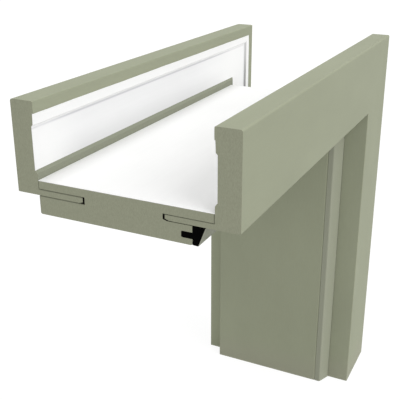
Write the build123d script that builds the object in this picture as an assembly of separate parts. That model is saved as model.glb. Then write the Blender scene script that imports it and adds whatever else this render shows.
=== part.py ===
from build123d import *
import os

# Corner section of an adjustable rebated door frame for a finished wall opening.
# A head run and a jamb run share one section and meet in a 45 degree mitre.
# Section coordinates: depth is counted from the near trim's front face through the
# wall, inset from the trims' outer edge towards the doorway. All sizes are millimetres.

# Overall sizes
DEPTH = 153.0
HEAD_LENGTH = 342.2
JAMB_HEIGHT = 340.2

# Trims: a board leg on the wall's face with a thin tongue that enters the lining
TRIM_WIDTH = 60.0
TRIM_THICKNESS = 16.0
NEAR_TONGUE_THICKNESS = 3.5
FAR_TONGUE_THICKNESS = 4.0
NEAR_TONGUE_LENGTH = 31.8
FAR_TONGUE_LENGTH = 32.6
TIP_LENGTH = 2.6
TIP_RISE = 0.9
FRONT_EDGE_RADIUS = 1.5
DOORWAY_EDGE_RADIUS = 0.6
WALL_EDGE_RADIUS = 0.8

# Wall side of a trim leg: the decor foil turned over its edge stands proud, then
# come a sloping white pad, a milled recess, a bevel and the foot beside the lining
WRAP_RISE = 0.5
WRAP_FLAT = 6.0
WRAP_WIDTH = 7.6
PAD_END = 14.8
PAD_DROP = 0.3
RECESS_START = 16.0
RECESS_DEPTH = 1.3
RECESS_END = 44.0
FOOT_START = 46.0
BACKING = 0.3

# Lining board with a groove in each edge and a stop step on the near side
LINING_BACK = 50.2
LINING_THICKNESS = 22.3
GROOVE_END_GAP = 1.4
GROOVE_PLAY = 0.3
NEAR_PLAY_BELOW = 0.5
SEAM = 0.2
STOP_DEPTH = 30.1
LINING_EDGE_RADIUS = 1.2

# Gasket: stem in the stop's kerf, wedge body against the rebate, thin decor skin
KERF_TOP = 64.5
KERF_BOTTOM = 68.6
KERF_LENGTH = 7.2
KERF_END_RADIUS = 0.8
GASKET_TOP = 60.6
GASKET_ROOT = 21.65
GASKET_NOSE = 26.2
GASKET_FACE = 72.5
GASKET_LIP = 72.3
GASKET_LIP_START = 70.3
HEEL_END = 69.6
HEEL_GAP = 0.8
GASKET_RADIUS = 0.5
SKIN = 0.15

# Derived insets and places
LINING_FACE = LINING_BACK + LINING_THICKNESS
NEAR_TONGUE_TOP = TRIM_WIDTH - NEAR_TONGUE_THICKNESS
FAR_TONGUE_TOP = TRIM_WIDTH - FAR_TONGUE_THICKNESS
NEAR_GROOVE_TOP = NEAR_TONGUE_TOP - GROOVE_PLAY
FAR_GROOVE_TOP = FAR_TONGUE_TOP - GROOVE_PLAY
NEAR_GROOVE_BOTTOM = TRIM_WIDTH + NEAR_PLAY_BELOW
FAR_GROOVE_BOTTOM = TRIM_WIDTH + GROOVE_PLAY
FAR_EDGE = DEPTH - TRIM_THICKNESS - SEAM
NEAR_TONGUE_END = TRIM_THICKNESS + NEAR_TONGUE_LENGTH
FAR_TONGUE_END = DEPTH - TRIM_THICKNESS - FAR_TONGUE_LENGTH

# The origin is the middle of the jamb lining's wall side
CORNER_X = LINING_BACK
NEAR_Y = -DEPTH / 2
TOP_Z = (JAMB_HEIGHT + LINING_BACK) / 2
SAW_X = CORNER_X - HEAD_LENGTH
SAW_Z = TOP_Z - JAMB_HEIGHT
REACH = 120.0
MARGIN = 10.0


def outline(points):
    """Close a polygon of (depth, inset) points into a face of the section."""
    return make_face(Polyline(*[(depth, -inset) for depth, inset in points], close=True))


def rounded(face, corners, radius):
    """Round the section's corners nearest to the given (depth, inset) points."""
    picked = [face.vertices().sort_by_distance((depth, -inset, 0))[0] for depth, inset in corners]
    return fillet(picked, radius)


def across(points, far):
    """Mirror section points to the far trim's side when far is true."""
    return [(DEPTH - depth if far else depth, inset) for depth, inset in points]


def backing_line(rise):
    """Pad, step and recess floor, rise above the board's bare face."""
    pad = TRIM_THICKNESS - PAD_DROP / 2
    floor = TRIM_THICKNESS - RECESS_DEPTH - BACKING
    return [
        (pad + rise, WRAP_WIDTH),
        (pad - PAD_DROP + rise, PAD_END),
        (floor + rise, RECESS_START),
        (floor + rise, RECESS_END),
    ]


def trim_section(far):
    """Leg with its wrap, recessed back and foot, and the tongue with its tapered tip."""
    tip = TRIM_THICKNESS + (FAR_TONGUE_LENGTH if far else NEAR_TONGUE_LENGTH)
    tongue_top = FAR_TONGUE_TOP if far else NEAR_TONGUE_TOP
    wrap = TRIM_THICKNESS + WRAP_RISE
    points = [
        (0, 0),
        (wrap, 0),
        (wrap, WRAP_FLAT),
        backing_line(BACKING)[0],
        *backing_line(0),
        backing_line(BACKING)[-1],
        (TRIM_THICKNESS, FOOT_START),
        (TRIM_THICKNESS, tongue_top),
        (tip, tongue_top),
        (tip, TRIM_WIDTH - TIP_RISE),
        (tip - TIP_LENGTH, TRIM_WIDTH),
        (0, TRIM_WIDTH),
    ]
    face = outline(across(points, far))
    face = rounded(face, across([(0, 0)], far), FRONT_EDGE_RADIUS)
    face = rounded(face, across([(0, TRIM_WIDTH)], far), DOORWAY_EDGE_RADIUS)
    return rounded(face, across([(wrap, 0)], far), WALL_EDGE_RADIUS)


def trim_backing_section(far):
    """White backing over the pad, down the step and along the recess."""
    return outline(across(backing_line(BACKING) + backing_line(0)[::-1], far))


def lining_section():
    """Board with two edge grooves, the stop step and the gasket's kerf."""
    back = LINING_BACK + BACKING
    near_groove = NEAR_TONGUE_END + GROOVE_END_GAP
    far_groove = FAR_TONGUE_END - GROOVE_END_GAP
    kerf_end = STOP_DEPTH + KERF_LENGTH
    points = [
        (TRIM_THICKNESS, back),
        (FAR_EDGE, back),
        (FAR_EDGE, FAR_GROOVE_TOP),
        (far_groove, FAR_GROOVE_TOP),
        (far_groove, FAR_GROOVE_BOTTOM),
        (FAR_EDGE, FAR_GROOVE_BOTTOM),
        (FAR_EDGE, LINING_FACE),
        (STOP_DEPTH, LINING_FACE),
        (STOP_DEPTH, KERF_BOTTOM),
        (kerf_end, KERF_BOTTOM),
        (kerf_end, KERF_TOP),
        (STOP_DEPTH, KERF_TOP),
        (STOP_DEPTH, NEAR_GROOVE_BOTTOM),
        (near_groove - TIP_LENGTH, NEAR_GROOVE_BOTTOM),
        (near_groove, NEAR_GROOVE_BOTTOM - TIP_RISE),
        (near_groove, NEAR_GROOVE_TOP),
        (TRIM_THICKNESS, NEAR_GROOVE_TOP),
    ]
    face = rounded(outline(points), [(kerf_end, KERF_BOTTOM), (kerf_end, KERF_TOP)], KERF_END_RADIUS)
    return rounded(face, [(FAR_EDGE, LINING_FACE), (STOP_DEPTH, LINING_FACE)], LINING_EDGE_RADIUS)


def lining_backing_section():
    """White backing over the lining's wall side."""
    back = LINING_BACK + BACKING
    return outline([(TRIM_THICKNESS, LINING_BACK), (FAR_EDGE, LINING_BACK), (FAR_EDGE, back), (TRIM_THICKNESS, back)])


def gasket_body(inward):
    """Wedge of the gasket without its stem, its slanted and doorway faces moved inward."""
    heel = STOP_DEPTH - HEEL_GAP
    nose = (GASKET_NOSE + inward, GASKET_FACE - inward)
    lip = (STOP_DEPTH, GASKET_LIP - inward)
    points = [
        (STOP_DEPTH, GASKET_TOP),
        (GASKET_ROOT + inward, GASKET_TOP),
        nose,
        lip,
        (STOP_DEPTH, GASKET_LIP_START),
        (heel, HEEL_END),
        (heel, KERF_BOTTOM),
        (STOP_DEPTH, KERF_BOTTOM),
    ]
    return rounded(outline(points), [nose, lip], GASKET_RADIUS)


def gasket_section():
    """Gasket core: the wedge inside the skin, and the stem with its rounded end."""
    stem_end = STOP_DEPTH + KERF_LENGTH
    stem = outline([(STOP_DEPTH, KERF_TOP), (stem_end, KERF_TOP), (stem_end, KERF_BOTTOM), (STOP_DEPTH, KERF_BOTTOM)])
    stem = rounded(stem, [(stem_end, KERF_TOP), (stem_end, KERF_BOTTOM)], KERF_END_RADIUS)
    return gasket_body(SKIN) + stem


def gasket_skin_section():
    """Thin decor skin over the wedge's slanted face, its nose and its lip."""
    return gasket_body(0) - gasket_body(SKIN)


def mitre_half(points):
    """Block that keeps one side of the mitre plane, from (x, z) points."""
    plane = Plane(origin=(0, NEAR_Y - MARGIN, 0), x_dir=(1, 0, 0), z_dir=(0, -1, 0))
    face = plane * make_face(Polyline(*points, close=True))
    return extrude(face, -(DEPTH + 2 * MARGIN))


def head_run(section):
    """Carry the section along the head from the sawn end to the mitre."""
    plane = Plane(origin=(SAW_X, NEAR_Y, TOP_Z), x_dir=(0, 1, 0), z_dir=(1, 0, 0))
    left = SAW_X - MARGIN
    low = TOP_Z - REACH
    keep = mitre_half([
        (left, TOP_Z + MARGIN),
        (CORNER_X + MARGIN, TOP_Z + MARGIN),
        (CORNER_X - REACH, low),
        (left, low),
    ])
    return extrude(plane * section, HEAD_LENGTH) & keep


def jamb_run(section):
    """Carry the section down the jamb from the mitre to the sawn foot."""
    plane = Plane(origin=(CORNER_X, NEAR_Y, TOP_Z), x_dir=(0, 1, 0), z_dir=(0, 0, -1))
    right = CORNER_X + MARGIN
    bottom = SAW_Z - MARGIN
    keep = mitre_half([
        (right, TOP_Z + MARGIN),
        (right, bottom),
        (CORNER_X - REACH, bottom),
        (CORNER_X - REACH, TOP_Z - REACH),
    ])
    return extrude(plane * section, JAMB_HEIGHT) & keep


# Each section is used once for the head and once for the jamb
SECTIONS = {
    "near_{}_trim": trim_section(False),
    "near_{}_trim_backing": trim_backing_section(False),
    "far_{}_trim": trim_section(True),
    "far_{}_trim_backing": trim_backing_section(True),
    "{}_lining": lining_section(),
    "{}_lining_backing": lining_backing_section(),
    "{}_gasket": gasket_section(),
    "{}_gasket_skin": gasket_skin_section(),
}
RUNS = {"head": head_run, "jamb": jamb_run}

os.makedirs("parts", exist_ok=True)
for pattern, section in SECTIONS.items():
    for run_name, run in RUNS.items():
        export_step(run(section), "parts/" + pattern.format(run_name) + ".step")
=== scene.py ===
"""Looks of a door frame corner section: foil-wrapped boards, white wall sides, gaskets and a pale studio."""

import math
from collections import namedtuple

import bmesh
import bpy
import numpy as np
from bpy.props import FloatProperty, FloatVectorProperty, PointerProperty
from mathutils import Matrix, Vector


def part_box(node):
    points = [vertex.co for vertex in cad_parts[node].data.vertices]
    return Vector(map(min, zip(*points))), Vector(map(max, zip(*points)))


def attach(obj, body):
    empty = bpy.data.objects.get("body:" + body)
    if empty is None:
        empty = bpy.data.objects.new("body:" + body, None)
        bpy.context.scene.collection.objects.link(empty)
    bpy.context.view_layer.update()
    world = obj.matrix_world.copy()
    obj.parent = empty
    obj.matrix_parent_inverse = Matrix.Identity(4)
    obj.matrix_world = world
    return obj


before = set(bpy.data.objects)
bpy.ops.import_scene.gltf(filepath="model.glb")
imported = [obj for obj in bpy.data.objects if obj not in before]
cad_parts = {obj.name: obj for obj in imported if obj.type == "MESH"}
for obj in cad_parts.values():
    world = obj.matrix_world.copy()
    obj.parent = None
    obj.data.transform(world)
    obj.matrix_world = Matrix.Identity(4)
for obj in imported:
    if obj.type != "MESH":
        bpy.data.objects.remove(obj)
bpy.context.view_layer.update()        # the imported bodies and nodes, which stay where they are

bl_info = {
    "name": "Door frame corner section",
    "version": (1, 0, 0),
    "blender": (4, 5, 0),
    "location": "3D View > Sidebar > Door frame",
    "description": "Finishes the boards, backings and gaskets of a door frame corner and lights it",
    "category": "Object",
}

MM = 0.001

# Corners and ends of the frame, read from its own pieces
HEAD_LOW, HEAD_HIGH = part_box("near_head_trim")
SKIN_LOW, SKIN_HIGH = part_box("jamb_gasket_skin")
CORNER_X = HEAD_HIGH.x
TOP_Z = HEAD_HIGH.z
NEAR_Y = HEAD_LOW.y
FAR_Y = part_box("far_head_trim")[1].y
SAW_X = HEAD_LOW.x
SAW_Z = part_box("near_jamb_trim")[0].z
NEAR_PAD_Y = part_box("near_head_trim_backing")[1].y
FAR_PAD_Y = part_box("far_head_trim_backing")[0].y

# A face is a sawn end where it lies this close to the end's plane
ON_CUT = 0.1 * MM

# Depths in the section, from the near trims' front
DEPTH = FAR_Y - NEAR_Y
LINING_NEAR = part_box("head_lining")[0].y - NEAR_Y
LINING_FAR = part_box("head_lining")[1].y - NEAR_Y
NEAR_GROOVE_END = 49.2 * MM
FAR_GROOVE_END = 103.0 * MM
NEAR_BLIND = (NEAR_GROOVE_END - 8 * MM, NEAR_GROOVE_END - 4 * MM)
FAR_BLIND = (FAR_GROOVE_END + 2 * MM, FAR_GROOVE_END + 5 * MM)
TONGUE_DEPTHS = (LINING_NEAR + 0.5 * MM, LINING_FAR - 0.3 * MM)
FOOT_DEPTHS = (14.2 * MM, 16.2 * MM)
LINING_SHADED = (120 * MM, 134 * MM)
GASKET_NOSE = 26.2 * MM
GASKET_ROOT = SKIN_LOW.y - NEAR_Y

# Insets in the section, from the trims' outer edge towards the doorway
WRAP_WIDTH = TOP_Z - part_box("near_head_trim_backing")[1].z
JAMB_STEP = (13.3 * MM, 15.95 * MM)
RECESS_START = 16.1 * MM
STEP_LINE = 17.1 * MM
STEP_LINE_WIDTH = 1.2 * MM
RECESS_SHADED = (26 * MM, 47 * MM)
RECESS_END = 44.0 * MM
LINING_BACK = TOP_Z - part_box("head_lining_backing")[1].z
FOOT_INSETS = (RECESS_END, LINING_BACK + 3 * MM)
NEAR_GROOVE = (56.2 * MM, 60.5 * MM)
FAR_GROOVE = (55.7 * MM, 60.3 * MM)
GROOVE_INSETS = (FAR_GROOVE[0] - 0.05 * MM, NEAR_GROOVE[1] + 0.05 * MM)
TRIM_WIDTH = TOP_Z - HEAD_LOW.z
TONGUE_INSETS = (LINING_BACK, TRIM_WIDTH - 0.05 * MM)
DOORWAY_EDGE = (TRIM_WIDTH - 0.6 * MM, TRIM_WIDTH - 0.1 * MM)
GASKET_TOP = CORNER_X - SKIN_HIGH.x
GASKET_FACE = CORNER_X - SKIN_LOW.x
GASKET_LIP = (GASKET_FACE - 0.3 * MM, GASKET_FACE - 0.1 * MM)

# Stretches along the run, from the corner, over which a finish or its painted light and shade changes
MITRE_LIGHT = (25 * MM, 75 * MM)
RECESS_SHADE_GROWS = (35 * MM, 140 * MM)
SHADE_GROWS = (30 * MM, 115 * MM)
BY_CUT = (285 * MM, 335 * MM)
STEP_DEEPENS = (15 * MM, 60 * MM)
END_SHADING_STRETCH = (150 * MM, 300 * MM)
FOOT_LIGHT_HEIGHT = 35 * MM

# Grain of the finishes: the size of a feature, how fast it changes along the run, across it and in
# depth, its detail and its roughness
Grain = namedtuple("Grain", "cell pace detail roughness", defaults=(2.0, 0.5))
FOIL_CLOUD = Grain(38 * MM, (0.4, 1.0, 1.0))
FOIL_STREAK = Grain(1.1 * MM, (0.12, 1.0, 1.0), 3.0, 0.6)
FOIL_PORE = Grain(0.35 * MM, (0.5, 1.0, 1.0))
WOOD_FIBRE = Grain(0.5 * MM, (1.0, 0.35, 1.4), 4.0, 0.65)
WOOD_FLECK = Grain(0.16 * MM, (1.0, 1.0, 1.0), 1.0)
WHITE_CLOUD = Grain(45 * MM, (0.5, 1.0, 1.0))
ROLLER_RIDGE = Grain(2.2 * MM, (0.05, 1.0, 1.0))
ORANGE_PEEL = Grain(0.9 * MM, (1.0, 1.0, 1.0))
CORE_PIT = Grain(0.22 * MM, (1.0, 1.0, 1.0), 3.0)
CORE_DRAG = Grain(0.5 * MM, (1.0, 0.3, 1.0))
DIE_LINE = Grain(0.45 * MM, (0.02, 1.0, 1.0))
SKIN_GRAIN = Grain(0.3 * MM, (0.5, 1.0, 1.0))

# Stretch of a grain's noise over which a finish goes from its dark to its light tone
CONTRAST = (0.3, 0.7)
FOIL_CONTRAST = (0.25, 0.75)
PIT_CONTRAST = (0.4, 0.75)

# Dark and light tones of a finish as shares of its colour, and the tone of bare board in a groove
MILLED_TONES = (0.93, 1.06)
BARE_TONE = 0.95
WHITE_TONES = (0.975, 1.01)
RECESS_TONES = (0.975, 1.02)
CORE_TONES = (0.7, 2.0)
SKIN_TONES = (0.96, 1.04)

# Sheen and relief of the finishes that have no setting for them
CORE_ROUGHNESS = 0.62
CORE_GLOSS = 0.02
SKIN_ROUGHNESS = 0.55
WHITE_RELIEF = 0.02 * MM
GASKET_RELIEF = 0.03 * MM

# How far the dark lines painted on a sawn end reach the grooves' painted shade colour, and those along the
# tongues next to the rest
LINE_SHADE = 0.6
TONGUE_LINE_SHADE = 0.8

# How much less painted shade lies by the sawn ends, the shade over which the painted line below the
# step fades in, how much of the jamb step's painted shade is left at the mitre, and the lining's share of the
# corner shade
LESS_SHADE_BY_CUT = 0.8
STEP_LINE_SHADE_FADE = (-0.6, 1.0)
STEP_AT_MITRE = 0.55
LINING_SHADE_SHARE = 0.7
CORNER_SHADE_COLOUR = (0.02, 0.02, 0.018)
WHITE = (1.0, 1.0, 1.0)

# Foil turned over a trim's edge: the share across it and the height over the white pad in mm of each
# point of its section, how far on the wrap it starts, the distance from the mitre over which the jamb's
# overlap settles, and the share, wave length and phase of the sines that its edge strays by
FOIL_SECTION = (
    (0.0, 0.33), (0.15, 0.37), (0.35, 0.37), (0.6, 0.33), (0.8, 0.28),
    (0.96, 0.23), (1.0, 0.19), (1.0, -0.1), (0.5, -0.1), (0.0, 0.0))
FOIL_START = WRAP_WIDTH - 2.6 * MM
FOIL_SETTLES = 3 * MM
FOIL_STRAYS = ((0.5, 113 * MM, 1.0), (0.3, 41 * MM, 2.2), (0.2, 17 * MM, 0.4))
FOIL_STATIONS = 160

# Cheek over the jamb gasket's face: points in its bend, how far its root lies inside the gasket, and
# how far behind the nose and below the face two of its hidden corners lie
CHEEK_POINTS = 9
CHEEK_TUCK = 0.1 * MM
CHEEK_HIDDEN = ((0.6 * MM, -0.3 * MM), (0.0, -2 * MM))

# Foil edges and cheek end this far before a sawn end
SHORT_OF_CUT = 0.05 * MM

# Studio: the camera's sensor and nearest sight, the floor's half width and its drop below the foot,
# and the length under which light passes it
SENSOR_MM = 36.0
NEAREST_SEEN = 10 * MM
FLOOR_REACH = 30.0
FLOOR_DROP = 0.2 * MM
FLOOR_PASSES = 2 * MM

TRIMS = ("near_head_trim", "near_jamb_trim", "far_head_trim", "far_jamb_trim")
LININGS = ("head_lining", "jamb_lining")
TRIM_BACKINGS = tuple(name + "_backing" for name in TRIMS)
LINING_BACKINGS = tuple(name + "_backing" for name in LININGS)
GASKETS = ("head_gasket", "jamb_gasket")
SKINS = tuple(name + "_skin" for name in GASKETS)


class BoardSettings(bpy.types.PropertyGroup):
    """Finish of the foil-wrapped boards and of their sawn ends."""

    foil_colour: FloatVectorProperty(
        name="Foil colour", description="Olive-grey of the decor foil, linear",
        size=3, subtype="COLOR", default=(0.331, 0.350, 0.252), min=0, max=1)
    foil_roughness: FloatProperty(
        name="Foil roughness", description="Satin of the decor foil",
        subtype="FACTOR", default=0.55, min=0, max=1)
    foil_gloss: FloatProperty(
        name="Foil gloss", description="How strongly the foil mirrors, 0.5 being a plain varnish",
        subtype="FACTOR", default=0.06, min=0, max=1)
    mottle: FloatProperty(
        name="Mottle", description="Share by which the foil's tone wanders",
        subtype="FACTOR", default=0.05, min=0, max=0.5)
    # Painted light: a paler foil colour right at the jamb's foot
    foot_light_colour: FloatVectorProperty(
        name="Foil colour by the foot", description="Decor foil right at the jamb's foot, linear",
        size=3, subtype="COLOR", default=(0.352, 0.358, 0.271), min=0, max=1)
    # Painted light: the foil made paler on the far trims' doorway edge
    doorway_light: FloatProperty(
        name="Edge lift", description="Share by which the foil is paler on the far trims' doorway edge",
        subtype="FACTOR", default=0.13, min=0, max=0.5)
    emboss: FloatProperty(
        name="Emboss depth", description="Depth of the foil's fine grain",
        unit="LENGTH", default=0.00003, min=0, max=0.001, precision=6)
    sawn_colour: FloatVectorProperty(
        name="Sawn colour", description="Olive-grey of the sawn fibreboard, linear",
        size=3, subtype="COLOR", default=(0.322, 0.333, 0.243), min=0, max=1)
    fibre: FloatProperty(
        name="Fibre contrast", description="Tone spread of the fibres on a sawn end",
        subtype="FACTOR", default=0.16, min=0, max=1)
    foot_colour: FloatVectorProperty(
        name="Foot colour", description="Olive-grey of the milled, painted feet on the trims' backs, linear",
        size=3, subtype="COLOR", default=(0.261, 0.275, 0.209), min=0, max=1)
    # Painted shade: near-black inside the grooves' blind ends and in the dark lines on the sawn ends
    groove_shade_colour: FloatVectorProperty(
        name="Groove colour", description="Dark bare fibreboard inside the grooves, linear",
        size=3, subtype="COLOR", default=(0.020, 0.018, 0.014), min=0, max=1)
    # Width of the dark line painted where near trim and lining meet; a third of it widens the painted shade
    # at the far seam
    joint_line_width: FloatProperty(
        name="Glue line width", description="Width of the glue line between near trim and lining",
        unit="LENGTH", default=0.0006, min=0, max=0.002, precision=5)
    line_width: FloatProperty(
        name="Seam line width", description="How far the lines along the tongues fade into the sawn ends",
        unit="LENGTH", default=0.0005, min=0.0001, max=0.002, precision=5)


class BackingSettings(bpy.types.PropertyGroup):
    """Finish of the white foil on the wall side."""

    colour: FloatVectorProperty(
        name="Backing colour", description="White of the balancing foil, linear",
        size=3, subtype="COLOR", default=(0.93, 0.93, 0.925), min=0, max=1)
    # Painted light: a whiter foil on the trims close to the mitre
    mitre_light_colour: FloatVectorProperty(
        name="Fresh colour", description="Whiter foil of the trims close to the mitre, linear",
        size=3, subtype="COLOR", default=(0.985, 0.985, 0.98), min=0, max=1)
    # Painted shade: a duller white on the floor of the trims' recess
    recess_shade_colour: FloatVectorProperty(
        name="Recess colour", description="Duller white on the floor of the trims' recess, linear",
        size=3, subtype="COLOR", default=(0.842, 0.842, 0.848), min=0, max=1)
    # Painted shade: a lilac-grey line below the recess's step
    step_shade_colour: FloatVectorProperty(
        name="Step colour", description="Lilac-grey line at the foot of the recess's step, linear",
        size=3, subtype="COLOR", default=(0.55, 0.545, 0.57), min=0, max=1)
    # Painted shade: a grey on the step itself on the jamb's trims
    jamb_step_shade_colour: FloatVectorProperty(
        name="Jamb step colour", description="Grey of the step itself on the jamb's trims, linear",
        size=3, subtype="COLOR", default=(0.34, 0.34, 0.34), min=0, max=1)
    # Painted shade that dulls the white in the corners of trim and lining
    corner_shade: FloatProperty(
        name="Dust", description="Share by which fine dust dulls the white in the corners of trim and lining",
        subtype="FACTOR", default=0.165, min=0, max=1)
    roughness: FloatProperty(
        name="Backing roughness", description="Sheen of the balancing foil",
        subtype="FACTOR", default=0.5, min=0, max=1)


class GasketSettings(bpy.types.PropertyGroup):
    """Colours of the gaskets' core and skin."""

    core_colour: FloatVectorProperty(
        name="Core colour", description="Black of the elastomer, linear",
        size=3, subtype="COLOR", default=(0.0010, 0.0010, 0.0010), min=0, max=1)
    skin_colour: FloatVectorProperty(
        name="Skin colour", description="Olive-grey of the gasket's visible face, linear",
        size=3, subtype="COLOR", default=(0.331, 0.345, 0.260), min=0, max=1)
    # Painted shade on the gasket's doorway face, from its nose to its lip
    lip_shade: FloatProperty(
        name="Lip shade", description="Share of the skin's brightness left on the gasket's doorway face",
        subtype="FACTOR", default=0.9, min=0, max=1)
    # Painted shade on the head gasket's skin towards its sawn end
    end_shade: FloatProperty(
        name="End shade", description="Share of the skin's brightness left by the head gasket's sawn end",
        subtype="FACTOR", default=0.82, min=0, max=1)


class CheekSettings(bpy.types.PropertyGroup):
    """Sizes of the cheek on the jamb gasket's slanted face."""

    root_out: FloatProperty(
        name="Cheek at the root", description="How far the jamb gasket's slanted face stands out at its root",
        unit="LENGTH", default=0.0019, min=0, max=0.005, precision=5)
    nose_out: FloatProperty(
        name="Cheek at the nose", description="How far the jamb gasket's slanted face stands out at its nose",
        unit="LENGTH", default=0.0013, min=0, max=0.005, precision=5)
    nose_bend: FloatProperty(
        name="Nose bend", description="How far from the corner the jamb gasket's nose starts to bend",
        unit="LENGTH", default=0.0012, min=0, max=0.003, precision=5)


class TurnoverSettings(bpy.types.PropertyGroup):
    """Sizes of the foil turned over the trims' outer edge."""

    head_overlap: FloatProperty(
        name="Overlap at the head's end", description="How far the foil runs onto the backing there",
        unit="LENGTH", default=0.00023, min=0, max=0.003, precision=5)
    mitre_overlap: FloatProperty(
        name="Overlap at the mitre", description="How far the foil runs onto the backing there",
        unit="LENGTH", default=0.00106, min=0, max=0.003, precision=5)
    jamb_overlap: FloatProperty(
        name="Overlap down the jamb", description="How far the foil runs onto the backing there",
        unit="LENGTH", default=0.00005, min=0, max=0.003, precision=5)
    wander: FloatProperty(
        name="Edge wander", description="How far the trimmed edge strays from a straight line",
        unit="LENGTH", default=0.00012, min=0, max=0.001, precision=5)


class StageSettings(bpy.types.PropertyGroup):
    """Camera, light and floor."""

    camera_place: FloatVectorProperty(
        name="Camera place", description="Where the camera stands",
        size=3, subtype="TRANSLATION", unit="LENGTH", default=(-0.62602, -0.21768, 0.30232))
    camera_bearing: FloatProperty(
        name="Camera bearing", description="Turn of the view from +X towards +Y",
        subtype="ANGLE", default=math.radians(24.918))
    camera_dip: FloatProperty(
        name="Camera dip", description="How far the camera looks down",
        subtype="ANGLE", default=math.radians(20.946))
    camera_roll: FloatProperty(
        name="Camera roll", description="Turn of the camera about its view",
        subtype="ANGLE", default=math.radians(0.362))
    camera_shift: FloatVectorProperty(
        name="Camera shift", description="Shares of its width by which the picture lies off the lens's axis",
        size=2, default=(-0.0457, -0.0331), min=-0.2, max=0.2)
    focal_length: FloatProperty(
        name="Focal length", description="Lens in millimetres on a 36 mm wide sensor",
        default=65.255, min=10, max=300)
    sky: FloatProperty(
        name="Sky", description="Strength of the even light from all sides",
        default=0.70, min=0, max=5)
    overhead: FloatProperty(
        name="Overhead light", description="Strength of the wide soft light from above",
        default=0.41, min=0, max=20)
    front: FloatProperty(
        name="Front light", description="Strength of the wide soft light from the front",
        default=1.30, min=0, max=20)
    front_bearing: FloatProperty(
        name="Front light bearing", description="Turn of the front light from straight ahead",
        subtype="ANGLE", default=math.radians(-15.0))
    front_height: FloatProperty(
        name="Front light height", description="Angle of the front light above the floor",
        subtype="ANGLE", default=math.radians(42.0))
    spread: FloatProperty(
        name="Light spread", description="Angle that each wide light fills, which softens its shadows",
        subtype="ANGLE", default=math.radians(40.0))
    floor_colour: FloatVectorProperty(
        name="Floor colour", description="Pale floor, linear",
        size=3, subtype="COLOR", default=(0.69, 0.69, 0.69), min=0, max=1)
    floor_glow: FloatProperty(
        name="Floor glow", description="Share of plain white in the floor as the camera sees it",
        subtype="FACTOR", default=0.75, min=0, max=1)
    floor_white: FloatProperty(
        name="Floor white", description="Strength of that white",
        default=1.17, min=0, max=3)


class Signal:
    """One value in a material; arithmetic on it adds Math nodes."""

    def __init__(self, finish, socket):
        self.finish = finish
        self.socket = socket

    def math(self, operation, *values, **settings):
        """A Math node of that operation on these values, in order."""
        sockets = dict(enumerate(values))
        return self.finish.node("ShaderNodeMath", {"operation": operation, **settings}, sockets)

    def __add__(self, other):
        return self.math("ADD", self, other)

    def __radd__(self, other):
        return self.math("ADD", other, self)

    def __sub__(self, other):
        return self.math("SUBTRACT", self, other)

    def __rsub__(self, other):
        return self.math("SUBTRACT", other, self)

    def __mul__(self, other):
        return self.math("MULTIPLY", self, other)

    def __rmul__(self, other):
        return self.math("MULTIPLY", other, self)

    def __truediv__(self, other):
        return self.math("DIVIDE", self, other)

    def __lt__(self, other):
        return self.math("LESS_THAN", self, other)

    def __gt__(self, other):
        return self.math("GREATER_THAN", self, other)

    def low(self, other):
        """The smaller of the two."""
        return self.math("MINIMUM", self, other)

    def high(self, other):
        """The larger of the two."""
        return self.math("MAXIMUM", self, other)

    def held(self):
        """The value kept between 0 and 1."""
        return self.math("ADD", self, 0.0, use_clamp=True)

    def inside(self, low, high):
        """1 between the two limits, 0 elsewhere."""
        return (self > low) * (self < high)

    def near(self, centre, width):
        """1 at centre, falling in a straight line to 0 at width away."""
        return (1 - self.math("ABSOLUTE", self - centre) / width).held()

    def ramp(self, start, end):
        """0 before start, 1 after end, smooth between."""
        sockets = {"Value": self, "From Min": start, "From Max": end}
        return self.finish.node("ShaderNodeMapRange", {"interpolation_type": "SMOOTHSTEP"}, sockets)


class Finish:
    """The nodes of a material or of the world, in the making. node() adds every node."""

    def __init__(self, owner):
        self.owner = owner
        owner.use_nodes = True
        self.tree = owner.node_tree
        self.tree.nodes.clear()

    def node(self, kind, settings=None, sockets=None, output=0):
        """Add a node with its settings, then its sockets' values or links. Return its output's value."""
        made = self.tree.nodes.new(kind)
        for key, value in (settings or {}).items():
            setattr(made, key, value)
        for key, value in (sockets or {}).items():
            if isinstance(value, Signal):
                self.tree.links.new(value.socket, made.inputs[key])
            else:
                made.inputs[key].default_value = value
        return Signal(self, made.outputs[output]) if made.outputs else made

    def noise(self, at, grain):
        """Noise from 0 to 1 with that grain, at the place on the run."""
        point = self.node("ShaderNodeVectorMath", {"operation": "MULTIPLY"}, {0: at.vector, 1: grain.pace})
        sockets = {
            "Vector": point, "Scale": 1.0 / grain.cell, "Detail": grain.detail, "Roughness": grain.roughness}
        return self.node("ShaderNodeTexNoise", None, sockets, "Fac")

    def blend(self, share, first, second):
        """Mix two colours by a share."""
        return self.node("ShaderNodeMix", {"data_type": "RGBA"}, {0: share, 6: first, 7: second}, 2)

    def tones(self, share, colour, dark, light):
        """The colour times dark to the colour times light, by a share."""
        return self.blend(share, tone(colour, dark), tone(colour, light))

    def bump(self, height, depth):
        """A normal for a height of 0 to 1 that stands for that depth in metres."""
        return self.node("ShaderNodeBump", None, {"Height": height, "Distance": depth, "Strength": 1.0})

    def surface(self, sockets):
        """Close the material with a Principled shader and return the material."""
        shader = self.node("ShaderNodeBsdfPrincipled", None, sockets)
        self.node("ShaderNodeOutputMaterial", None, {"Surface": shader})
        return self.owner


def tone(colour, share=1.0):
    """The colour made lighter or darker by a share, as a shader colour."""
    return (*(min(1.0, part * share) for part in colour), 1.0)


Place = namedtuple("Place", "along inset depth vector from_top from_side from_foot sawn")


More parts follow.
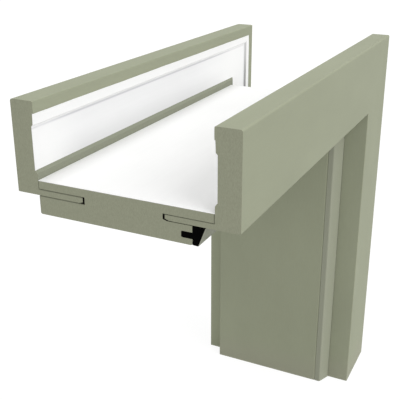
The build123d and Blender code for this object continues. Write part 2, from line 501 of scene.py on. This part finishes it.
def place_on_run(finish):
    """Where a surface point lies on its run while its piece is at rest, in metres: along from the
    corner, inset from the outer edge, depth from the near front, the vector of these three, and how
    far it is from the frame's top, side and foot. sawn is 1 on a sawn end and 0 elsewhere."""
    point = finish.node("ShaderNodeTexCoord", output="Object")
    x, y, z = (finish.node("ShaderNodeSeparateXYZ", None, {0: point}, axis) for axis in range(3))
    from_top = TOP_Z - z
    from_side = CORNER_X - x
    from_foot = z - SAW_Z
    along = from_top.high(from_side)
    inset = from_top.low(from_side)
    depth = y - NEAR_Y
    return Place(
        along=along,
        inset=inset,
        depth=depth,
        vector=finish.node("ShaderNodeCombineXYZ", None, {0: along, 1: inset, 2: depth}),
        from_top=from_top,
        from_side=from_side,
        from_foot=from_foot,
        sawn=((x - SAW_X) < ON_CUT).high(from_foot < ON_CUT))


def groove_walls(at):
    """Where a lining's faces lie inside its grooves."""
    return at.inset.inside(*GROOVE_INSETS)


def groove_ends(at):
    """1 at the blind ends of the two grooves and between them, 0 along the tongues: where the bare board
    turns to painted shade.
    """
    return at.depth.ramp(*NEAR_BLIND) * (1 - at.depth.ramp(*FAR_BLIND))


def tongue_back(at):
    """Where a trim's faces are the wall side and the tip of its tongue."""
    return at.depth.inside(*TONGUE_DEPTHS) * at.inset.inside(*TONGUE_INSETS)


def foot_back(at):
    """Where a trim's back is the milled foot beside the lining, with the bevel up to it."""
    from_front = at.depth.low(DEPTH - at.depth)
    return at.inset.inside(*FOOT_INSETS) * from_front.inside(*FOOT_DEPTHS)


def far_edge(at):
    """Where a far trim's face is its doorway edge."""
    return at.inset.ramp(*DOORWAY_EDGE) * (at.depth > LINING_FAR)


def tongue_lines(at, settings):
    """Soft lines of painted shade where a sawn end shows the gaps between tongues and grooves,
    widening the gaps' own shade. Below the near tongue the gap is wide enough to be dark by itself."""
    width = settings.line_width
    near = at.depth.inside(LINING_NEAR, NEAR_GROOVE_END) * at.inset.near(NEAR_GROOVE[0] + width / 2, width)
    far_top = at.inset.near(FAR_GROOVE[0] + width, width)
    far_bottom = at.inset.near(FAR_GROOVE[1] + width / 3, width)
    far = at.depth.inside(FAR_GROOVE_END, LINING_FAR) * far_top.high(far_bottom)
    return near.high(far) * TONGUE_LINE_SHADE


def lining_lines(at, settings):
    """The painted shade lines along the tongues, a dark joint line by the near trim and painted shade along
    the seam by the far trim.
    """
    joint = at.depth.inside(LINING_NEAR - MM, LINING_NEAR + settings.joint_line_width)
    joint = joint * at.inset.inside(LINING_BACK, NEAR_GROOVE[0])
    seam = at.depth.inside(LINING_FAR - settings.joint_line_width / 3, LINING_FAR + MM)
    return joint.high(seam).high(tongue_lines(at, settings))


def wrapped_foil(finish, settings, at, share):
    """Mottled decor foil, with painted light that makes it paler by the jamb's foot and on the far trims'
    doorway edge.
    """
    foil = finish.tones(share, settings.foil_colour, 1 - settings.mottle, 1 + settings.mottle)
    # Painted light: the foil turns paler towards the jamb's foot
    foil = finish.blend(1 - at.from_foot.ramp(0.0, FOOT_LIGHT_HEIGHT), foil, tone(settings.foot_light_colour))
    # Painted light: paler foil on the far trims' doorway edge
    return finish.blend(far_edge(at), foil, tone(settings.foil_colour, 1 + settings.doorway_light))


def foil_material(name, settings, bare, lines):
    """Satin decor foil: a grain drawn out along the run, and open fibres on the sawn ends. Two
    functions of a place on the run say where the board has no foil, and where dark lines, mostly
    painted shade, lie on its sawn end."""
    finish = Finish(bpy.data.materials.new(name))
    at = place_on_run(finish)
    streak = finish.noise(at, FOIL_STREAK)
    pore = finish.noise(at, FOIL_PORE)
    fibre = finish.noise(at, WOOD_FIBRE)
    foil_share = (0.5 * finish.noise(at, FOIL_CLOUD) + 0.3 * streak + 0.2 * pore).ramp(*FOIL_CONTRAST)
    wood_share = (0.6 * fibre + 0.4 * finish.noise(at, WOOD_FLECK)).ramp(*CONTRAST)
    foot = foot_back(at)
    milled = finish.tones(wood_share, settings.foot_colour, *MILLED_TONES)
    skin = finish.blend(foot, wrapped_foil(finish, settings, at, foil_share), milled)
    board = tone(settings.sawn_colour, BARE_TONE)
    # Painted shade: the bare board turns near-black towards the grooves' blind ends
    hollow = finish.blend(groove_ends(at), board, tone(settings.groove_shade_colour))
    skin = finish.blend(bare(at), skin, hollow)
    wood = finish.tones(wood_share, settings.sawn_colour, 1 - settings.fibre, 1 + 0.7 * settings.fibre)
    # Painted shade lines on the sawn end, in the grooves' shade colour
    wood = finish.blend(lines(at, settings) * LINE_SHADE, wood, tone(settings.groove_shade_colour))
    open_fibre = at.sawn.high(0.5 * foot)
    height = streak * (1 - open_fibre) * 0.6 + pore * 0.4 + fibre * open_fibre * 2.0
    return finish.surface({
        "Base Color": finish.blend(at.sawn, skin, wood),
        "Roughness": settings.foil_roughness + 0.10 * (streak - 0.5) + 0.22 * at.sawn,
        "Specular IOR Level": settings.foil_gloss,
        "Normal": finish.bump(height, settings.emboss),
    })


def lining_white(finish, settings, at, share):
    """The colour of a lining's wall side, and where painted shade lies on it by the far trim's foot."""
    # Painted shade on the lining's back by the far trim's foot
    shaded_share = at.depth.ramp(*LINING_SHADED) * LINING_SHADE_SHARE
    return finish.tones(share, settings.colour, *WHITE_TONES), shaded_share


def recessed_white(finish, settings, at, share):
    """The colour of a trim's wall side, and where painted shade lies on it: painted light whitest by the
    mitre, bright on the pad, a painted shade line below the step and on the recess floor, least of all
    by the mitre and by the sawn ends. The jamb's step itself has a darker painted shade."""
    # Share of the painted shade kept: it grows away from the mitre and is less by the sawn ends
    away = 1 - LESS_SHADE_BY_CUT * at.along.ramp(*BY_CUT)
    shading = at.along.ramp(*SHADE_GROWS) * away
    white = finish.tones(share, settings.colour, *WHITE_TONES)
    # Painted light: whiter foil close to the mitre
    colour = finish.blend(at.along.ramp(*MITRE_LIGHT), tone(settings.mitre_light_colour), white)
    # Painted shade: a duller white on the recess floor
    floor = finish.tones(share, settings.recess_shade_colour, *RECESS_TONES)
    recess_shade = (at.inset > RECESS_START) * (at.along.ramp(*RECESS_SHADE_GROWS) * away)
    colour = finish.blend(recess_shade, colour, floor)
    # Painted shade: a lilac-grey line below the step
    line = at.inset.near(STEP_LINE, STEP_LINE_WIDTH) * shading.ramp(*STEP_LINE_SHADE_FADE)
    colour = finish.blend(line, colour, tone(settings.step_shade_colour))
    # Painted shade: a darker grey on the jamb's step, weaker at the mitre
    deep = STEP_AT_MITRE + (1 - STEP_AT_MITRE) * at.along.ramp(*STEP_DEEPENS)
    jamb_step = (at.from_side < at.from_top) * at.inset.inside(*JAMB_STEP)
    colour = finish.blend(jamb_step * deep, colour, tone(settings.jamb_step_shade_colour))
    # Painted shade on the recess floor, growing towards the foot by the lining
    return colour, at.inset.ramp(*RECESS_SHADED) * shading


def backing_material(name, settings, white):
    """White foil with the faint ridges of the press roller along the run. The function white gives its
    colour and where painted shade lies on it."""
    finish = Finish(bpy.data.materials.new(name))
    at = place_on_run(finish)
    ridge = finish.noise(at, ROLLER_RIDGE)
    orange = finish.noise(at, ORANGE_PEEL)
    cloud = finish.noise(at, WHITE_CLOUD)
    share = (0.6 * cloud + 0.25 * ridge + 0.15 * orange).ramp(*CONTRAST)
    colour, shaded_share = white(finish, settings, at, share)
    # Painted shade in the corners, dulling the white
    shaded_share = shaded_share * settings.corner_shade * (0.8 + 0.4 * cloud)
    return finish.surface({
        "Base Color": finish.blend(shaded_share, colour, tone(CORNER_SHADE_COLOUR)),
        "Roughness": settings.roughness + 0.12 * (orange - 0.5),
        "Normal": finish.bump(0.5 * ridge + 0.5 * orange, WHITE_RELIEF),
    })


def core_material(name, settings):
    """Black elastomer with the small pits and drag lines of a cut end."""
    finish = Finish(bpy.data.materials.new(name))
    at = place_on_run(finish)
    pit = finish.noise(at, CORE_PIT)
    drag = finish.noise(at, CORE_DRAG)
    return finish.surface({
        "Base Color": finish.tones(pit.ramp(*PIT_CONTRAST), settings.core_colour, *CORE_TONES),
        "Roughness": CORE_ROUGHNESS + 0.2 * (drag - 0.5) + 0.1 * at.sawn,
        "Specular IOR Level": CORE_GLOSS,
        "Normal": finish.bump(0.6 * pit + 0.4 * drag, GASKET_RELIEF),
    })


def skin_material(name, settings):
    """Matt skin with fine lines from the die, drawn along the run, and painted shade from its nose to its
    lip and towards the head's sawn end. Its cut at the jamb's foot is black, because the cheek there
    puts it inside the profile."""
    finish = Finish(bpy.data.materials.new(name))
    at = place_on_run(finish)
    line = finish.noise(at, DIE_LINE)
    grain = finish.noise(at, SKIN_GRAIN)
    share = (0.6 * line + 0.4 * grain).ramp(*CONTRAST)
    colour = finish.tones(share, settings.skin_colour, *SKIN_TONES)
    # Painted shade from the gasket's nose to its lip
    lip = at.inset.ramp(*GASKET_LIP)
    colour = finish.blend(lip, colour, tone(settings.skin_colour, settings.lip_shade))
    # Painted shade on the head gasket's skin towards its sawn end
    end_shading = (at.from_top < at.from_side) * at.along.ramp(*END_SHADING_STRETCH)
    colour = finish.blend(end_shading, colour, tone(settings.skin_colour, settings.end_shade))
    colour = finish.blend(at.from_foot < ON_CUT, colour, tone(settings.core_colour))
    return finish.surface({
        "Base Color": colour,
        "Roughness": SKIN_ROUGHNESS + 0.15 * (grain - 0.5),
        "Normal": finish.bump(line, GASKET_RELIEF),
    })


def dress(names, material):
    """Give these frame nodes the material."""
    for name in names:
        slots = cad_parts[name].data.materials
        slots.clear()
        slots.append(material)


def tube_faces(stations, around):
    """Quads of a closed tube of stations rings with around points each, and its two end faces."""
    ring = np.arange(around)
    following = (ring + 1) % around
    start = np.arange(stations - 1)[:, None] * around
    sides = np.stack([start + ring, start + following, start + around + following, start + around + ring], -1)
    ends = [ring[::-1].tolist(), ((stations - 1) * around + ring).tolist()]
    return sides.reshape(-1, 4).tolist() + ends


def solid_from_rings(name, rings):
    """A closed mesh object from an array of rings, shape (stations, around, 3), faces turned outwards."""
    stations, around, _ = rings.shape
    mesh = bpy.data.meshes.new(name)
    mesh.from_pydata(rings.reshape(-1, 3).tolist(), [], tube_faces(stations, around))
    mesh.validate()
    solid = bmesh.new()
    solid.from_mesh(mesh)
    bmesh.ops.recalc_face_normals(solid, faces=solid.faces)
    solid.to_mesh(mesh)
    solid.free()
    made = bpy.data.objects.new(name, mesh)
    bpy.context.scene.collection.objects.link(made)
    return made


def turnover_rings(pad_y, outward, jamb, settings):
    """Rings of a foil edge. Across it, the foil leaves the board's flat wrap, bends down with it and
    ends in a square free edge on the backing. Along it, the free edge strays by a sum of three sines, and
    the overlap changes from the mitre's: in a straight line up to the head's end, and on the jamb with
    the exponential of the distance over 3 mm. Each ring is cut on the mitre, where the inset and the
    distance along the run are equal."""
    length = TOP_Z - SAW_Z if jamb else CORNER_X - SAW_X
    along = (length - SHORT_OF_CUT) * (1 - np.linspace(0.0, 1.0, FOIL_STATIONS)[:, None])
    stray = settings.wander * sum(
        share * np.sin(along * 2 * math.pi / wave + phase) for share, wave, phase in FOIL_STRAYS)
    from_mitre = np.maximum(along - WRAP_WIDTH, 0.0)
    kept = np.exp(-from_mitre / FOIL_SETTLES) if jamb else 1 - from_mitre / from_mitre.max()
    away = settings.jamb_overlap if jamb else settings.head_overlap
    overlap = away + (settings.mitre_overlap - away) * kept
    across, rise = np.array(FOIL_SECTION).T
    inset = FOIL_START + across * (WRAP_WIDTH + overlap + stray - FOIL_START)
    along = np.maximum(along, inset)
    rings = np.empty((FOIL_STATIONS, len(FOIL_SECTION), 3))
    rings[..., 0] = CORNER_X - (inset if jamb else along)
    rings[..., 1] = pad_y + outward * rise * MM
    rings[..., 2] = TOP_Z - (along if jamb else inset)
    return rings


def cheek_rings(settings):
    """Two rings of the cheek on the jamb gasket's slanted face, from the sawn foot to the mitre.
    In the section, its face runs straight from the root to the nose and there bends in a parabola:
    (1 - t) squared of the bend's start, 2 t (1 - t) of the corner and t squared of the bend's end.
    Three more points close the section inside the gasket."""
    root = np.array([GASKET_ROOT - settings.root_out, GASKET_TOP + CHEEK_TUCK])
    corner = np.array([GASKET_NOSE - settings.nose_out, GASKET_FACE])
    back = (root - corner) / np.linalg.norm(root - corner)
    t = np.linspace(0.0, 1.0, CHEEK_POINTS)[:, None]
    start = corner + back * settings.nose_bend
    end = corner + np.array([settings.nose_bend, 0.0])
    bend = (1 - t) ** 2 * start + 2 * t * (1 - t) * corner + t ** 2 * end
    hidden = np.array([GASKET_NOSE, GASKET_FACE]) + CHEEK_HIDDEN
    under_root = np.array([GASKET_ROOT + MM, root[1]])
    depth, inset = np.concatenate([root[None], bend, hidden, under_root[None]]).T
    foot = np.full_like(inset, TOP_Z - SAW_Z - SHORT_OF_CUT)
    rings = np.empty((2, len(inset), 3))
    rings[..., 0] = CORNER_X - inset
    rings[..., 1] = NEAR_Y + depth
    rings[..., 2] = TOP_Z - np.stack([foot, inset])
    return rings


class DOORFRAME_OT_boards(bpy.types.Operator):
    """Wrap the trims and linings in olive-grey foil, with open fibres on their sawn ends"""

    bl_idname = "doorframe.boards"
    bl_label = "Finish boards"

    def execute(self, context):
        settings = context.scene.doorframe_boards
        dress(TRIMS, foil_material("trim_foil", settings, tongue_back, tongue_lines))
        dress(LININGS, foil_material("lining_foil", settings, groove_walls, lining_lines))
        return {"FINISHED"}


class DOORFRAME_OT_backings(bpy.types.Operator):
    """Line the wall sides with white foil"""

    bl_idname = "doorframe.backings"
    bl_label = "Finish wall sides"

    def execute(self, context):
        settings = context.scene.doorframe_backings
        dress(LINING_BACKINGS, backing_material("lining_backing", settings, lining_white))
        dress(TRIM_BACKINGS, backing_material("trim_backing", settings, recessed_white))
        return {"FINISHED"}


class DOORFRAME_OT_gaskets(bpy.types.Operator):
    """Give the gaskets a black core and an olive-grey skin"""

    bl_idname = "doorframe.gaskets"
    bl_label = "Finish gaskets"

    def execute(self, context):
        settings = context.scene.doorframe_gaskets
        dress(GASKETS, core_material("cut_elastomer", settings))
        dress(SKINS, skin_material("matt_skin", settings))
        return {"FINISHED"}


class DOORFRAME_OT_cheek(bpy.types.Operator):
    """Lay a cheek over the jamb gasket's slanted face, which stands further out than the head's"""

    bl_idname = "doorframe.cheek"
    bl_label = "Add gasket cheek"

    def execute(self, context):
        cheek = solid_from_rings("jamb_gasket_cheek", cheek_rings(context.scene.doorframe_cheek))
        cheek.data.materials.append(bpy.data.materials["matt_skin"])
        cheek.data.materials.append(bpy.data.materials["cut_elastomer"])
        for end_face in cheek.data.polygons[-2:]:
            end_face.material_index = 1
        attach(cheek, "frame")
        return {"FINISHED"}


class DOORFRAME_OT_turnovers(bpy.types.Operator):
    """Make the edges of the foil that are turned over onto the trims' backs"""

    bl_idname = "doorframe.turnovers"
    bl_label = "Turn the foil over"

    def execute(self, context):
        settings = context.scene.doorframe_turnovers
        sides = (("near", NEAR_PAD_Y, 1.0, "frame"), ("far", FAR_PAD_Y, -1.0, "far_trim"))
        for side, pad_y, outward, body in sides:
            for run in ("head", "jamb"):
                rings = turnover_rings(pad_y, outward, run == "jamb", settings)
                foil = solid_from_rings(f"{side}_{run}_foil_turnover", rings)
                foil.data.materials.append(bpy.data.materials["trim_foil"])
                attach(foil, body)
        return {"FINISHED"}


def seen_share(finish):
    """1 for rays from the camera and for mirrored rays, 0 for all others."""
    camera, glossy = (
        finish.node("ShaderNodeLightPath", output=name) for name in ("Is Camera Ray", "Is Glossy Ray"))
    return camera.high(glossy)


def floor_material(settings):
    """Pale floor that keeps shadows, glows towards the camera and isn't seen from below. Light passes it
    right under the sawn foot, which would be black otherwise."""
    finish = Finish(bpy.data.materials.new("pale_floor"))
    plain = finish.node("ShaderNodeBsdfDiffuse", None, {"Color": tone(settings.floor_colour)})
    glow = finish.node("ShaderNodeEmission", None, {"Color": tone(WHITE), "Strength": settings.floor_white})
    glowing = seen_share(finish) * settings.floor_glow
    lit = finish.node("ShaderNodeMixShader", None, {0: glowing, 1: plain, 2: glow})
    clear = finish.node("ShaderNodeBsdfTransparent")
    from_below = finish.node("ShaderNodeNewGeometry", output="Backfacing")
    from_camera = finish.node("ShaderNodeLightPath", output="Is Camera Ray")
    under_foot = finish.node("ShaderNodeLightPath", output="Ray Length") < FLOOR_PASSES
    unseen = (from_below * from_camera).high(under_foot)
    shown = finish.node("ShaderNodeMixShader", None, {0: unseen, 1: lit, 2: clear})
    finish.node("ShaderNodeOutputMaterial", None, {"Surface": shown})
    return finish.owner


def add_floor(settings):
    """A wide level sheet just below the sawn foot."""
    corners = FLOOR_REACH * np.array([(-1, -1), (1, -1), (1, 1), (-1, 1)])
    mesh = bpy.data.meshes.new("floor")
    mesh.from_pydata([(x, y, SAW_Z - FLOOR_DROP) for x, y in corners], [], [(0, 1, 2, 3)])
    mesh.materials.append(floor_material(settings))
    floor = bpy.data.objects.new("floor", mesh)
    bpy.context.scene.collection.objects.link(floor)


def light_world(settings):
    """Even light from all sides, and plain white where the camera sees past the floor."""
    world = bpy.data.worlds.new("studio")
    finish = Finish(world)
    sockets = {"Value": seen_share(finish), "To Min": settings.sky, "To Max": 1.0}
    strength = finish.node("ShaderNodeMapRange", None, sockets)
    background = finish.node("ShaderNodeBackground", None, {"Color": tone(WHITE), "Strength": strength})
    finish.node("ShaderNodeOutputWorld", None, {"Surface": background})
    bpy.context.scene.world = world


def add_wide_light(name, bearing, height, strength, spread):
    """A soft light from far away: bearing turns it from -Y towards +X, height lifts it."""
    data = bpy.data.lights.new(name, "SUN")
    data.energy = strength
    data.angle = spread
    lamp = bpy.data.objects.new(name, data)
    towards = Vector((
        math.sin(bearing) * math.cos(height),
        -math.cos(bearing) * math.cos(height),
        math.sin(height)))
    lamp.rotation_euler = towards.to_track_quat("Z", "Y").to_euler()
    bpy.context.scene.collection.objects.link(lamp)


def camera_turn(settings):
    """The camera's rotation: look along the bearing, dip, then roll about the view."""
    cos_dip = math.cos(settings.camera_dip)
    view = Vector((
        math.cos(settings.camera_bearing) * cos_dip,
        math.sin(settings.camera_bearing) * cos_dip,
        -math.sin(settings.camera_dip)))
    right = view.cross(Vector((0, 0, 1))).normalized()
    up = right.cross(view)
    upright = Matrix((right, up, -view)).transposed()
    return upright @ Matrix.Rotation(settings.camera_roll, 3, "Z")


def add_camera(settings):
    """The camera at the picture's viewing angle."""
    lens = bpy.data.cameras.new("camera")
    lens.sensor_width = SENSOR_MM
    lens.lens = settings.focal_length
    lens.shift_x, lens.shift_y = settings.camera_shift
    lens.clip_start = NEAREST_SEEN
    camera = bpy.data.objects.new("camera", lens)
    camera.location = settings.camera_place
    camera.rotation_euler = camera_turn(settings).to_euler()
    bpy.context.scene.collection.objects.link(camera)
    bpy.context.scene.camera = camera


class DOORFRAME_OT_stage(bpy.types.Operator):
    """Set the camera, the lights and the pale floor"""

    bl_idname = "doorframe.stage"
    bl_label = "Set the stage"

    def execute(self, context):
        stage = context.scene.doorframe_stage
        add_camera(stage)
        add_floor(stage)
        light_world(stage)
        add_wide_light("overhead_light", 0.0, math.pi / 2, stage.overhead, stage.spread)
        add_wide_light("front_light", stage.front_bearing, stage.front_height, stage.front, stage.spread)
        context.scene.view_settings.view_transform = "Standard"
        return {"FINISHED"}


STEPS = (
    (DOORFRAME_OT_boards, "doorframe_boards", BoardSettings),
    (DOORFRAME_OT_backings, "doorframe_backings", BackingSettings),
    (DOORFRAME_OT_gaskets, "doorframe_gaskets", GasketSettings),
    (DOORFRAME_OT_cheek, "doorframe_cheek", CheekSettings),
    (DOORFRAME_OT_turnovers, "doorframe_turnovers", TurnoverSettings),
    (DOORFRAME_OT_stage, "doorframe_stage", StageSettings),
)


class DOORFRAME_PT_panel(bpy.types.Panel):
    """Lists the steps that finish the corner section"""

    bl_idname = "DOORFRAME_PT_panel"
    bl_label = "Door frame corner"
    bl_space_type = "VIEW_3D"
    bl_region_type = "UI"
    bl_category = "Door frame"

    def draw(self, context):
        for operator, name, group in STEPS:
            box = self.layout.box()
            box.operator(operator.bl_idname)
            for setting in group.__annotations__:
                box.prop(getattr(context.scene, name), setting)


def register():
    """Make the settings, steps and panel known to Blender."""
    for operator, name, group in STEPS:
        bpy.utils.register_class(group)
        setattr(bpy.types.Scene, name, PointerProperty(type=group))
        bpy.utils.register_class(operator)
    bpy.utils.register_class(DOORFRAME_PT_panel)


def unregister():
    """Take the settings, steps and panel away again."""
    bpy.utils.unregister_class(DOORFRAME_PT_panel)
    for operator, name, group in reversed(STEPS):
        bpy.utils.unregister_class(operator)
        delattr(bpy.types.Scene, name)
        bpy.utils.unregister_class(group)


def main():
    """Finish the object step by step."""
    register()
    bpy.ops.doorframe.boards()
    bpy.ops.doorframe.backings()
    bpy.ops.doorframe.gaskets()
    bpy.ops.doorframe.cheek()
    bpy.ops.doorframe.turnovers()
    bpy.ops.doorframe.stage()


if __name__ == "__main__":
    main()
